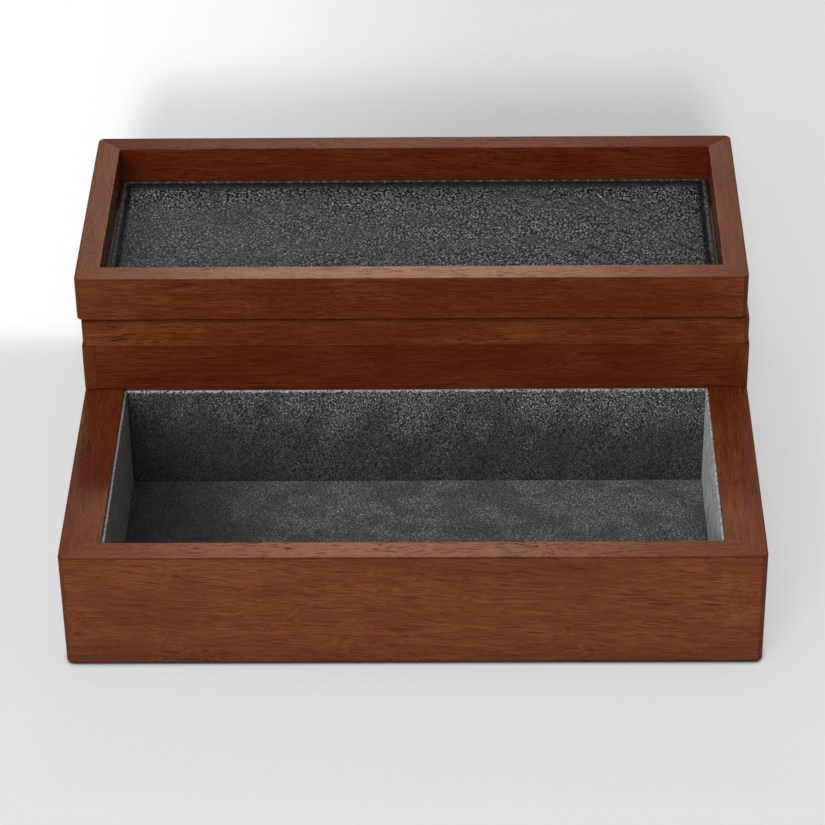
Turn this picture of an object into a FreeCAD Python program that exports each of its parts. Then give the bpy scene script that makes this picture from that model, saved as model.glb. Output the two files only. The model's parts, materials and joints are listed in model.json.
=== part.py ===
"""Wooden valet box: a case with a drawer below, a lined compartment above and a tray as its lid.

Millimetres, +Z up.  The origin is the centre of the case's underside, on the surface that the box
stands on, and +X is to the right of someone who faces the drawer.  The drawer is fully open, out
along -Y, and the lid is shut.
"""
import FreeCAD, Part
import os
import re
import Sketcher

# Driving dimensions: alias, value, what it is.
DIMENSIONS = [
    ("width", 305.0, "outer width of the case and the drawer"),
    ("case_depth", 129.5, "front to back of the case"),
    ("case_height", 81.9, "height of the case's boards above the table"),
    ("felt", 0.8, "thickness of the felt under the case"),
    ("felt_inset", 1.0, "felt's edge inside the case's outline"),
    ("base_panel", 1.5, "thickness of the case's bottom panel"),
    ("side_board", 5.7, "thickness of the case's side boards"),
    ("back_board", 5.5, "thickness of the case's back board"),
    ("riser_board", 5.0, "thickness of the board above the drawer"),
    ("riser_recess", 0.35, "how far that board stands behind the side boards' front edges"),
    ("floor_board", 3.0, "thickness of the upper compartment's floor"),
    ("corner_radius", 3.0, "rounding of the upright outer corners"),
    ("arris", 0.7, "easing of the outer arrises"),
    ("fine_arris", 0.35, "easing of the inner and under arrises"),
    ("foot_arris", 1.0, "easing of the drawer front's lower edge"),
    ("band_height", 13.0, "height of the mitred band on top of the case"),
    ("band_rail", 11.0, "width of the band's rails"),
    ("band_inset", 0.35, "band's ends inside the case's outline"),
    ("drawer_top", 58.2, "height of the drawer's rims above the table"),
    ("drawer_front", 11.65, "thickness of the drawer's front board"),
    ("drawer_rim", 17.8, "width of the drawer's side rims, lip and wall together"),
    ("drawer_back", 4.5, "thickness of the drawer's back board"),
    ("drawer_bottom", 1.6, "thickness of the drawer's bottom"),
    ("lip_thick", 8.0, "thickness of the lips that carry the drawer"),
    ("stay_in", 6.65, "length of drawer that stays in the case when it is fully open"),
    ("drawer_lift", 0.9, "drawer front's lower edge above the table"),
    ("under_gap", 0.3, "running gap under the drawer's walls"),
    ("lip_gap", 0.3, "running gap under the lips"),
    ("head_gap", 0.4, "running gap above the drawer"),
    ("side_gap", 0.3, "running gap beside each of the drawer's walls"),
    ("front_gap", 0.3, "gap behind the front board when the drawer is shut"),
    ("rear_gap", 0.4, "gap behind the drawer when it is shut"),
    ("card", 1.2, "thickness of the suede-covered wall cards"),
    ("floor_card", 1.0, "thickness of the suede-covered floor cards"),
    ("card_drop", 1.8, "top of the drawer's wall cards below its rims"),
    ("stop_radius", 1.2, "radius of the drawer's stop pins"),
    ("stop_inset", 3.4, "stop pins behind the case's front edge"),
    ("stop_height", 30.0, "height of the stop pins above the table"),
    ("stop_hold", 3.5, "length of a stop pin that is glued into the side board"),
    ("stop_reach", 1.8, "length of a stop pin inside the drawer's groove"),
    ("stop_gap", 0.1, "gap round a stop pin in the groove"),
    ("groove_depth", 2.4, "depth of the groove in the drawer's wall"),
    ("groove_spare", 1.0, "groove beyond the stop pin when the drawer is shut"),
    ("lid_gap", 0.6, "gap between the band and the lid"),
    ("lid_height", 21.5, "height of the lid's frame"),
    ("lid_rail", 11.0, "width of the lid's rails"),
    ("lid_setback", 1.4, "lid's front behind the case's front"),
    ("lid_shift", 1.5, "lid's offset to the left on its hinges"),
    ("lid_rebate", 3.0, "width of the rebate that takes the lid's panel"),
    ("lid_panel", 2.0, "thickness of the lid's panel"),
    ("lid_lining", 0.8, "thickness of the lining card under the panel"),
    ("lining_recess", 0.2, "lining above the lid frame's underside"),
    ("pad_thick", 2.1, "thickness of the leather pad at its border"),
    ("pad_gap", 0.5, "gap between the leather pad and the frame"),
    ("pad_corner", 2.0, "corner radius of the leather pad"),
    ("pad_arris", 0.8, "rounding of the leather pad's upper edge"),
    ("bumper_radius", 2.5, "radius of the felt dots under the lid"),
    ("bumper_thick", 0.5, "thickness of the felt dots"),
    ("hinge_length", 38.0, "length of a hinge along the back"),
    ("hinge_spread", 80.0, "distance of a hinge's middle from the box's middle"),
    ("leaf_thick", 1.0, "thickness of a hinge leaf"),
    ("leaf_reach", 12.2, "hinge axis to the far edge of a leaf"),
    ("leaf_clear", 0.3, "gap between a leaf's plate and the other leaf's knuckles"),
    ("knuckle_radius", 2.0, "outer radius of the hinge barrel"),
    ("knuckle_gap", 0.15, "gap between neighbouring knuckles"),
    ("hinge_standoff", 0.1, "gap between the barrel and the back of the box"),
    ("pin_radius", 0.9, "radius of a hinge pin"),
    ("pin_gap", 0.03, "running gap round a pin or screw in its hole"),
    ("pin_head_radius", 1.3, "radius of a hinge pin's heads"),
    ("pin_head", 0.5, "thickness of a hinge pin's heads"),
    ("open_angle", 100.0, "angle at which the hinge's heel stops the lid, in degrees"),
    ("heel_length", 3.6, "hinge axis to the tip of the stop heel"),
    ("heel_thick", 0.8, "thickness of the stop heel"),
    ("heel_gap", 0.05, "gap left between heel and leaf when the lid is fully open"),
    ("screw_radius", 0.9, "radius of the hinge screws"),
    ("screw_head", 1.7, "radius of a screw's countersunk head"),
    ("head_depth", 0.8, "depth of the countersunk head"),
    ("screw_length", 7.0, "length of a screw with its head"),
    ("screw_reach", 7.6, "hinge axis to the row of screws"),
    ("screw_pitch", 13.0, "distance between neighbouring screws"),
    ("drive_span", 2.0, "length of each bar of the cross recess in a screw's head"),
    ("drive_width", 0.45, "width of each bar of the cross recess"),
    ("drive_depth", 0.5, "depth of the cross recess"),
]
KNUCKLES = 5
SCREWS_PER_LEAF = 3
BEYOND = 2.0          # how far a cutting solid runs past the face that it cuts
TOUCH = 1e-4          # an edge nearer to a plane than this lies in it

# Planes and lengths worked out from the driving dimensions, as expression text.
HALF = "(width / 2)"
CASE_FRONT = "(-case_depth / 2)"
CASE_BACK = "(case_depth / 2)"
BOARD_INNER = f"({HALF} - side_board)"
BACK_INNER = f"({CASE_BACK} - back_board)"
BASE_TOP = "(felt + base_panel)"
HEAD = "(drawer_top + head_gap)"
RISER_FACE = f"({CASE_FRONT} + riser_recess)"
RISER_REAR = f"({RISER_FACE} + riser_board)"
BAND_TOP = "(case_height + band_height)"

DRAWER_LENGTH = "(drawer_front + front_gap + case_depth - back_board - rear_gap)"
DRAWER_REAR = f"({CASE_FRONT} + stay_in)"
DRAWER_FACE = f"({DRAWER_REAR} - {DRAWER_LENGTH})"
WELL_FRONT = f"({DRAWER_FACE} + drawer_front)"
WELL_BACK = f"({DRAWER_REAR} - drawer_back)"
WELL_SIDE = f"({HALF} - drawer_rim)"
DRAWER_UNDER = f"({BASE_TOP} + under_gap)"
WALL_OUTER = f"({BOARD_INNER} - side_gap)"
LIP_UNDER = "(drawer_top - lip_thick)"
TRAVEL = f"({CASE_FRONT} - front_gap - {WELL_FRONT})"
STOP_PLACE = f"({CASE_FRONT} + stop_inset)"

LID_LEFT = f"(-{HALF} - lid_shift)"
LID_RIGHT = f"({HALF} - lid_shift)"
LID_FRONT = f"({CASE_FRONT} + lid_setback)"
LID_UNDER = f"({BAND_TOP} + lid_gap)"
LID_TOP = f"({LID_UNDER} + lid_height)"
LINING_UNDER = f"({LID_UNDER} + lining_recess)"
PANEL_UNDER = f"({LINING_UNDER} + lid_lining)"
PANEL_TOP = f"({PANEL_UNDER} + lid_panel)"

HINGE_Y = f"({CASE_BACK} + hinge_standoff + knuckle_radius)"
HINGE_Z = f"({BAND_TOP} + lid_gap / 2)"
LEAF_FACE = f"({CASE_BACK} + leaf_thick)"
LEAF_START = "(knuckle_radius + leaf_clear)"
KNUCKLE_PITCH = f"(hinge_length / {KNUCKLES})"

SIDES = (("left", -1), ("right", 1))
ALIASES = {alias for alias, value, note in DIMENSIONS}

doc = FreeCAD.newDocument("valet_box")
sheet = doc.addObject("Spreadsheet::Sheet", "Dims")
nodes = {}


def fill_sheet():
    """Write each driving dimension to a row of the sheet: its name, its value and its note."""
    for row, (alias, value, note) in enumerate(DIMENSIONS, start=1):
        sheet.set(f"A{row}", alias)
        sheet.set(f"B{row}", str(value))
        sheet.setAlias(f"B{row}", alias)
        sheet.set(f"C{row}", note)
    doc.recompute()


def bound(text):
    """Expression text in which each dimension's alias is written as its cell of the sheet."""
    return re.sub(r"[a-z_]+", lambda word: f"Dims.{word[0]}" if word[0] in ALIASES else word[0], text)


def number(text):
    """Present value of an expression."""
    return float(sheet.evalExpression(bound(text)))


def inset(span, amount):
    """A (low, high) pair of expressions, drawn in by an amount at both ends."""
    low, high = span
    return (f"({low} + {amount})", f"({high} - {amount})")


def centred(half):
    """The pair of planes at a distance to either side of the middle."""
    return (f"(-{half})", half)


def on_side(sign, low, high):
    """A span on the right-hand side, or its mirror image on the left."""
    if sign > 0:
        return (low, high)
    return (f"(-{high})", f"(-{low})")


def keep(name, item):
    """Record an object as one node of the part."""
    item.Label = name
    nodes[name] = item
    return item


def block(name, x, y, z):
    """Box between two planes on each axis."""
    box = doc.addObject("Part::Box", name)
    for size, axis, (low, high) in (("Length", "x", x), ("Width", "y", y), ("Height", "z", z)):
        box.setExpression(size, bound(f"{high} - {low}"))
        box.setExpression(f".Placement.Base.{axis}", bound(low))
    return box


def rod(name, along, start, length, radius, tip_radius=None):
    """Cylinder, or cone where it has a tip radius, from a start point along x, z or backwards along y."""
    kind = "Part::Cylinder" if tip_radius is None else "Part::Cone"
    item = doc.addObject(kind, name)
    turn = {"x": FreeCAD.Rotation(FreeCAD.Vector(0, 1, 0), 90),
            "-y": FreeCAD.Rotation(FreeCAD.Vector(1, 0, 0), 90),
            "z": FreeCAD.Rotation()}[along]
    item.Placement = FreeCAD.Placement(FreeCAD.Vector(), turn)
    for axis, place in zip("xyz", start):
        item.setExpression(f".Placement.Base.{axis}", bound(place))
    item.setExpression("Height", bound(length))
    if tip_radius is None:
        item.setExpression("Radius", bound(radius))
    else:
        item.setExpression("Radius1", bound(radius))
        item.setExpression("Radius2", bound(tip_radius))
    return item


def group(kind, name, members):
    """Part::MultiFuse or Part::Compound of several objects."""
    item = doc.addObject(kind, name)
    if kind == "Part::Compound":
        item.Links = members
    else:
        item.Shapes = members
    return item


def pair(kind, name, base, tool):
    """Part::Cut or Part::Common of two objects."""
    item = doc.addObject(kind, name)
    item.Base = base
    item.Tool = tool
    return item


def rectangle(x, y):
    """Corner points of a rectangle, anticlockwise from its left front corner."""
    return [(x[0], y[0]), (x[1], y[0]), (x[1], y[1]), (x[0], y[1])]


def profile(body, name, points, level):
    """Closed sketch of straight lines through points, in the horizontal plane at a level."""
    sketch = body.newObject("Sketcher::SketchObject", name)
    plane = next(item for item in body.Origin.OriginFeatures if item.Role == "XY_Plane")
    sketch.AttachmentSupport = (plane, [""])
    sketch.MapMode = "FlatFace"
    sketch.setExpression(".AttachmentOffset.Base.z", bound(level))
    corners = [FreeCAD.Vector(number(x), number(y), 0) for x, y in points]
    for start, end in zip(corners, corners[1:] + corners[:1]):
        sketch.addGeometry(Part.LineSegment(start, end))
    for line, point in enumerate(points):
        following = (line + 1) % len(points)
        sketch.addConstraint(Sketcher.Constraint("Coincident", line, 2, following, 1))
        for kind, place in zip(("DistanceX", "DistanceY"), point):
            row = sketch.addConstraint(Sketcher.Constraint(kind, -1, 1, line, 1, number(place)))
            sketch.setExpression(f"Constraints[{row}]", bound(place))
    return sketch


def pad(name, points, z):
    """New body with one upright prism."""
    body = doc.addObject("PartDesign::Body", name)
    sketch = profile(body, f"{name}_outline", points, z[0])
    feature = body.newObject("PartDesign::Pad", f"{name}_pad")
    feature.Profile = sketch
    feature.setExpression("Length", bound(f"{z[1]} - {z[0]}"))
    doc.recompute()
    return body


def pocket(body, name, points, z):
    """Cut an upright prism out of a body, and make sure that it took material away."""
    before = body.Tip.Shape.Volume
    sketch = profile(body, f"{name}_outline", points, z[1])
    feature = body.newObject("PartDesign::Pocket", name)
    feature.Profile = sketch
    feature.setExpression("Length", bound(f"{z[1]} - {z[0]}"))
    doc.recompute()
    if not feature.Shape.Volume < before:
        raise RuntimeError(f"{name} cuts nothing")


def round_edges(body, name, radius, *choices):
    """Round the edges that lie in all the planes of any one choice, each a dict of axis and place."""
    base = body.Tip
    wanted = [{axis: number(place) for axis, place in choice.items()} for choice in choices]

    def lies_in(edge, planes):
        return all(abs(getattr(vertex.Point, axis) - place) < TOUCH
                   for vertex in edge.Vertexes for axis, place in planes.items())

    edges = [f"Edge{index}" for index, edge in enumerate(base.Shape.Edges, start=1)
             if any(lies_in(edge, planes) for planes in wanted)]
    feature = body.newObject("PartDesign::Fillet", name)
    feature.Base = (base, edges)
    feature.setExpression("Radius", bound(radius))
    doc.recompute()


def frame_blank(name, x, y, z, rail):
    """Rounded rectangular frame, before it is parted at the mitres."""
    body = pad(name, rectangle(x, y), z)
    round_edges(body, f"{name}_corners", "corner_radius",
                *({"x": side, "y": end} for side in x for end in y))
    round_edges(body, f"{name}_top_arris", "arris", {"z": z[1]})
    round_edges(body, f"{name}_under_arris", "fine_arris", {"z": z[0]})
    opening_x = inset(x, rail)
    opening_y = inset(y, rail)
    pocket(body, f"{name}_opening", rectangle(opening_x, opening_y), z)
    round_edges(body, f"{name}_inner_arris", "fine_arris",
                *({"z": z[1], "x": side} for side in opening_x),
                *({"z": z[1], "y": end} for end in opening_y))
    return body


def mitred_rails(prefix, blank, x, y, z, rail):
    """Part a frame into four rails along the 45 degree lines through its corners."""
    x_out = inset(x, f"(-{BEYOND})")
    y_out = inset(y, f"(-{BEYOND})")
    x_in = inset(x, f"({rail} + {BEYOND})")
    y_in = inset(y, f"({rail} + {BEYOND})")
    outlines = {
        "front": [(x_out[0], y_out[0]), (x_out[1], y_out[0]), (x_in[1], y_in[0]), (x_in[0], y_in[0])],
        "back": [(x_in[0], y_in[1]), (x_in[1], y_in[1]), (x_out[1], y_out[1]), (x_out[0], y_out[1])],
        "left": [(x_out[0], y_out[0]), (x_in[0], y_in[0]), (x_in[0], y_in[1]), (x_out[0], y_out[1])],
        "right": [(x_in[1], y_in[0]), (x_out[1], y_out[0]), (x_out[1], y_out[1]), (x_in[1], y_in[1])],
    }
    height = inset(z, f"(-{BEYOND})")
    return {side: pair("Part::Common", f"{prefix}_{side}_rail", blank,
                       pad(f"{prefix}_{side}_sector", points, height))
            for side, points in outlines.items()}


def line_with_cards(prefix, x, y, floor, top):
    """Suede-covered cards on four walls, the side cards running through, and one on the floor."""
    between_x = inset(x, "card")
    between_y = inset(y, "card")
    z = (floor, top)
    keep(f"{prefix}_left", block(f"{prefix}_left", (x[0], between_x[0]), y, z))
    keep(f"{prefix}_right", block(f"{prefix}_right", (between_x[1], x[1]), y, z))
    keep(f"{prefix}_front", block(f"{prefix}_front", between_x, (y[0], between_y[0]), z))
    keep(f"{prefix}_back", block(f"{prefix}_back", between_x, (between_y[1], y[1]), z))
    keep(f"{prefix}_floor", block(f"{prefix}_floor", between_x, between_y, (floor, f"({floor} + floor_card)")))


def make_case():
    """Boards of the case, from the felt up to the band's seat."""
    between = centred(BOARD_INNER)
    keep("base_felt", pad("base_felt", rectangle(centred(f"({HALF} - felt_inset)"),
                                                 inset((CASE_FRONT, CASE_BACK), "felt_inset")),
                          ("0", "felt")))
    round_edges(nodes["base_felt"], "base_felt_corners", "corner_radius",
                *({"x": f"({sign} * ({HALF} - felt_inset))", "y": f"({CASE_BACK} - felt_inset)"}
                  for side, sign in SIDES))
    keep("base_panel", block("base_panel", between, (CASE_FRONT, BACK_INNER), ("felt", BASE_TOP)))
    keep("case_back", block("case_back", between, (BACK_INNER, CASE_BACK), ("felt", "case_height")))
    riser = pad("riser_panel", rectangle(between, (RISER_FACE, RISER_REAR)), (HEAD, "case_height"))
    round_edges(riser, "riser_foot_arris", "fine_arris", {"y": RISER_FACE, "z": HEAD})
    keep("riser_panel", riser)
    keep("compartment_floor", block("compartment_floor", between, (RISER_REAR, BACK_INNER),
                                    (HEAD, f"({HEAD} + floor_board)")))
    for side, sign in SIDES:
        make_side_board(side, sign)
    line_with_cards("upper_liner", between, (RISER_REAR, BACK_INNER), f"({HEAD} + floor_board)",
                    "case_height")


def make_side_board(side, sign):
    """Side board with the slot for the drawer's lip, and the stop pin that is glued into it."""
    x = on_side(sign, BOARD_INNER, HALF)
    outer = f"({sign} * {HALF})"
    board = pad(f"side_board_{side}", rectangle(x, (CASE_FRONT, CASE_BACK)), ("felt", "case_height"))
    round_edges(board, f"side_board_{side}_rear", "corner_radius", {"x": outer, "y": CASE_BACK})
    round_edges(board, f"side_board_{side}_fore", "arris", {"x": outer, "y": CASE_FRONT})
    slot = block(f"lip_slot_{side}", on_side(sign, f"({BOARD_INNER} - {BEYOND})", f"({HALF} + {BEYOND})"),
                 (f"({CASE_FRONT} - {BEYOND})", BACK_INNER), (f"({LIP_UNDER} - lip_gap)", HEAD))
    pin_x = on_side(sign, f"({WALL_OUTER} - stop_reach)", f"({BOARD_INNER} + stop_hold)")
    pin_length = f"({pin_x[1]} - {pin_x[0]})"
    pin_start = (pin_x[0], STOP_PLACE, "stop_height")
    bore = rod(f"stop_bore_{side}", "x", pin_start, pin_length, "(stop_radius + pin_gap)")
    cuts = group("Part::MultiFuse", f"side_cuts_{side}", [slot, bore])
    keep(f"case_side_{side}", pair("Part::Cut", f"case_side_{side}", board, cuts))
    keep(f"drawer_stop_{side}", rod(f"drawer_stop_{side}", "x", pin_start, pin_length, "stop_radius"))


def make_drawer():
    """Front and lipped sides from one mitred blank, then back, bottom and lining."""
    x = centred(HALF)
    y = (DRAWER_FACE, DRAWER_REAR)
    well_x = centred(WELL_SIDE)
    behind = (WELL_FRONT, f"({DRAWER_REAR} + {BEYOND})")
    blank = pad("drawer_blank", rectangle(x, y), ("drawer_lift", "drawer_top"))
    round_edges(blank, "drawer_corners", "corner_radius", *({"x": side, "y": DRAWER_FACE} for side in x))
    round_edges(blank, "drawer_top_arris", "arris", {"z": "drawer_top"})
    round_edges(blank, "drawer_under_arris", "foot_arris", {"z": "drawer_lift"})
    pocket(blank, "drawer_well", rectangle(well_x, behind), ("drawer_lift", "drawer_top"))
    round_edges(blank, "drawer_inner_arris", "fine_arris", {"z": "drawer_top", "y": WELL_FRONT},
                *({"z": "drawer_top", "x": side} for side in well_x))
    pocket(blank, "drawer_heel", rectangle(inset(x, f"(-{BEYOND})"), behind),
           ("drawer_lift", DRAWER_UNDER))
    for side, sign in SIDES:
        rebate = on_side(sign, WALL_OUTER, f"({HALF} + {BEYOND})")
        pocket(blank, f"lip_rebate_{side}", rectangle(rebate, behind), (DRAWER_UNDER, LIP_UNDER))

    height = inset(("drawer_lift", "drawer_top"), f"(-{BEYOND})")
    edge_x = inset(x, f"(-{BEYOND})")
    mitre_x = inset(x, "drawer_front")
    before = f"({DRAWER_FACE} - {BEYOND})"
    sector = pad("drawer_front_sector", [(edge_x[0], before), (edge_x[1], before),
                                         (mitre_x[1], WELL_FRONT), (mitre_x[0], WELL_FRONT)], height)
    keep("drawer_front", pair("Part::Common", "drawer_front_board", blank, sector))
    for side, sign in SIDES:
        outer = f"({sign} * ({HALF} + {BEYOND}))"
        mitre = f"({sign} * ({HALF} - drawer_front))"
        inner = f"({sign} * ({WELL_SIDE} - {BEYOND}))"
        sector = pad(f"drawer_{side}_sector", [(outer, before), (mitre, WELL_FRONT), (inner, WELL_FRONT),
                                               (inner, behind[1]), (outer, behind[1])], height)
        board = pair("Part::Common", f"drawer_{side}_board", blank, sector)
        reach = "(stop_radius + stop_gap)"
        groove = block(f"stop_groove_{side}",
                       on_side(sign, f"({WALL_OUTER} - groove_depth)", f"({WALL_OUTER} + {BEYOND})"),
                       (f"({STOP_PLACE} - {TRAVEL} - {reach} - groove_spare)", f"({STOP_PLACE} + {reach})"),
                       (f"(stop_height - {reach})", f"(stop_height + {reach})"))
        keep(f"drawer_side_{side}", pair("Part::Cut", f"drawer_side_{side}", board, groove))

    keep("drawer_back", block("drawer_back_board", well_x, (WELL_BACK, DRAWER_REAR),
                              (DRAWER_UNDER, "drawer_top")))
    floor = f"({DRAWER_UNDER} + drawer_bottom)"
    keep("drawer_bottom", block("drawer_bottom_board", well_x, (WELL_FRONT, WELL_BACK),
                                (DRAWER_UNDER, floor)))
    line_with_cards("drawer_liner", well_x, (WELL_FRONT, WELL_BACK), floor, "(drawer_top - card_drop)")


def make_band(screw_holes):
    """Mitred band on top of the case, its back rail bored for the hinge screws."""
    x = centred(f"({HALF} - band_inset)")
    y = (CASE_FRONT, CASE_BACK)
    z = ("case_height", BAND_TOP)
    blank = frame_blank("band_blank", x, y, z, "band_rail")
    rails = mitred_rails("band", blank, x, y, z, "band_rail")
    rails["back"] = pair("Part::Cut", "band_back_bored", rails["back"], screw_holes)
    for side, rail in rails.items():
        keep(f"band_{side}", rail)


def make_lid(screw_holes):
    """Mitred lid frame, rebated below for its panel and lining, with the leather pad on top."""
    x = (LID_LEFT, LID_RIGHT)
    y = (LID_FRONT, CASE_BACK)
    z = (LID_UNDER, LID_TOP)
    blank = frame_blank("lid_blank", x, y, z, "lid_rail")
    rebate_x = inset(x, "(lid_rail - lid_rebate)")
    rebate_y = inset(y, "(lid_rail - lid_rebate)")
    pocket(blank, "lid_rebate_cut", rectangle(rebate_x, rebate_y), (LID_UNDER, PANEL_TOP))
    rails = mitred_rails("lid", blank, x, y, z, "lid_rail")
    rails["back"] = pair("Part::Cut", "lid_back_bored", rails["back"], screw_holes)
    for side, rail in rails.items():
        keep(f"lid_{side}", rail)
    keep("lid_panel", block("lid_panel_board", rebate_x, rebate_y, (PANEL_UNDER, PANEL_TOP)))
    keep("lid_lining", block("lid_lining_card", rebate_x, rebate_y, (LINING_UNDER, PANEL_UNDER)))

    pad_x = inset(x, "(lid_rail + pad_gap)")
    pad_y = inset(y, "(lid_rail + pad_gap)")
    pad_top = f"({PANEL_TOP} + pad_thick)"
    mat = pad("tray_pad", rectangle(pad_x, pad_y), (PANEL_TOP, pad_top))
    round_edges(mat, "tray_pad_corners", "pad_corner", *({"x": side, "y": end} for side in pad_x for end in pad_y))
    round_edges(mat, "tray_pad_edge", "pad_arris", {"z": pad_top})
    keep("tray_pad", mat)

    dot_x = inset(x, "((lid_rail - lid_rebate) / 2)")
    dot_y = inset(y, "((lid_rail - lid_rebate) / 2)")
    dots = [rod(f"bumper_{column}{row}", "z", (dot_x[column], dot_y[row], f"({LID_UNDER} - bumper_thick)"),
                "bumper_thick", "bumper_radius") for column in (0, 1) for row in (0, 1)]
    keep("lid_bumpers", group("Part::Compound", "lid_bumper_dots", dots))


def make_screw(name, x, z, gap):
    """Countersunk screw driven forwards from a leaf's face, or with a gap the hole that it leaves."""
    start = (x, LEAF_FACE, z)
    head = rod(f"{name}_head", "-y", start, "head_depth", f"(screw_head + {gap})", f"(screw_radius + {gap})")
    shank = rod(f"{name}_shank", "-y", start, f"(screw_length + {gap})", f"(screw_radius + {gap})")
    solid = group("Part::MultiFuse", f"{name}_solid", [head, shank])
    if gap != "0":
        return solid
    depth = (f"({LEAF_FACE} - drive_depth)", f"({LEAF_FACE} + {BEYOND})")
    bars = []
    for turn, (across, up) in enumerate((("drive_span", "drive_width"), ("drive_width", "drive_span"))):
        bars.append(block(f"{name}_bar{turn}", (f"({x} - {across} / 2)", f"({x} + {across} / 2)"), depth,
                          (f"({z} - {up} / 2)", f"({z} + {up} / 2)")))
    cross = group("Part::MultiFuse", f"{name}_cross", bars)
    return pair("Part::Cut", f"{name}_screw", solid, cross)


def make_screws(leaf, sign):
    """All the screws of one kind of leaf on both hinges, and the holes that they need."""
    screws = []
    holes = []
    for side, hand in SIDES:
        for place in range(SCREWS_PER_LEAF):
            x = f"({hand} * hinge_spread + {place - (SCREWS_PER_LEAF - 1) / 2} * screw_pitch)"
            z = f"({HINGE_Z} + {sign} * screw_reach)"
            name = f"{leaf}_{side}{place}"
            screws.append(make_screw(name, x, z, "0"))
            holes.append(make_screw(f"{name}_hole", x, z, "pin_gap"))
    keep(f"hinge_{leaf}_screws", group("Part::Compound", f"{leaf}_screw_set", screws))
    return group("Part::MultiFuse", f"{leaf}_screw_holes", holes)


def make_leaf(leaf, sign, side, hand, first, screw_holes):
    """One leaf of a butt hinge: plate, its own knuckles and, on the lid's leaf, the stop heels."""
    name = f"hinge_{leaf}_leaf_{side}"
    left = f"({hand} * hinge_spread - hinge_length / 2)"
    right = f"({hand} * hinge_spread + hinge_length / 2)"

    def upright(near, far):
        low, high = (near, far) if sign > 0 else (f"(-{far})", f"(-{near})")
        return (f"({HINGE_Z} + {low})", f"({HINGE_Z} + {high})")

    pieces = [block(f"{name}_plate", (left, right), (CASE_BACK, LEAF_FACE), upright(LEAF_START, "leaf_reach"))]
    for turn in range(first, KNUCKLES, 2):
        start = f"({left} + {turn} * {KNUCKLE_PITCH} + knuckle_gap / 2)"
        length = f"({KNUCKLE_PITCH} - knuckle_gap)"
        span = (start, f"({start} + {length})")
        pieces.append(rod(f"{name}_knuckle{turn}", "x", (start, HINGE_Y, HINGE_Z), length, "knuckle_radius"))
        pieces.append(block(f"{name}_web{turn}", span, (CASE_BACK, LEAF_FACE), upright("0", LEAF_START)))
        if leaf == "lid":
            pieces.append(make_heel(f"{name}_heel{turn}", span))
    body = group("Part::MultiFuse", f"{name}_body", pieces)
    bore = rod(f"{name}_bore", "x", (f"({left} - {BEYOND})", HINGE_Y, HINGE_Z),
               f"(hinge_length + 2 * {BEYOND})", "(pin_radius + pin_gap)")
    cuts = group("Part::MultiFuse", f"{name}_cuts", [bore, screw_holes])
    keep(name, pair("Part::Cut", name, body, cuts))


def make_heel(name, span):
    """Tab that meets the case's leaf at the open angle; drawn as it lies then, and turned back."""
    offset = f"({LEAF_FACE} + heel_gap - {HINGE_Y})"
    tab = block(f"{name}_tab", span, (offset, f"({offset} + heel_thick)"), ("(-heel_length)", "(-pin_radius)"))
    turned = group("Part::Compound", name, [tab])
    axis = FreeCAD.Vector(1, 0, 0)
    turned.Placement = FreeCAD.Placement(FreeCAD.Vector(), FreeCAD.Rotation(axis, number("open_angle")))
    turned.setExpression(".Placement.Rotation.Angle", bound("open_angle * 1 deg"))
    turned.setExpression(".Placement.Base.y", bound(HINGE_Y))
    turned.setExpression(".Placement.Base.z", bound(HINGE_Z))
    return turned


def make_hinge_pin(side, hand):
    """Headed pin through all the knuckles of one hinge."""
    left = f"({hand} * hinge_spread - hinge_length / 2)"
    right = f"({hand} * hinge_spread + hinge_length / 2)"
    shaft = rod(f"pin_shaft_{side}", "x", (left, HINGE_Y, HINGE_Z), "hinge_length", "pin_radius")
    heads = [rod(f"pin_head_{side}{end}", "x", (start, HINGE_Y, HINGE_Z), "pin_head", "pin_head_radius")
             for end, start in enumerate((f"({left} - pin_head)", right))]
    keep(f"hinge_pin_{side}", group("Part::MultiFuse", f"hinge_pin_{side}", [shaft] + heads))


def export_nodes():
    """Check every object and write each node's shape to its own file."""
    doc.recompute()
    for item in doc.Objects:
        if "Invalid" in item.State or "Error" in item.State:
            raise RuntimeError(f"{item.Label} failed: {item.State}")
    os.makedirs("parts", exist_ok=True)
    for name, item in nodes.items():
        shape = item.Shape
        if shape.isNull() or not shape.isValid() or not shape.Solids:
            raise RuntimeError(f"{name} has no valid solid")
        shape.exportStep(f"parts/{name}.step")
        box = shape.BoundBox
        print(f"{name:24s} solids {len(shape.Solids):2d}  volume {shape.Volume:10.1f}  "
              f"x {box.XMin:8.2f} {box.XMax:8.2f}  y {box.YMin:8.2f} {box.YMax:8.2f}  "
              f"z {box.ZMin:7.2f} {box.ZMax:7.2f}")
    print(f"{len(nodes)} nodes, drawer travel {number(TRAVEL):.2f}, "
          f"hinge axis y {number(HINGE_Y):.2f} z {number(HINGE_Z):.2f}")


fill_sheet()
case_holes = make_screws("case", -1)
lid_holes = make_screws("lid", 1)
make_case()
make_band(case_holes)
make_drawer()
make_lid(lid_holes)
for hinge_side, hinge_hand in SIDES:
    make_leaf("case", -1, hinge_side, hinge_hand, 0, case_holes)
    make_leaf("lid", 1, hinge_side, hinge_hand, 1, lid_holes)
    make_hinge_pin(hinge_side, hinge_hand)
export_nodes()
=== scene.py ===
import json
import math

import bpy
from mathutils import Matrix, Vector, noise

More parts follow.
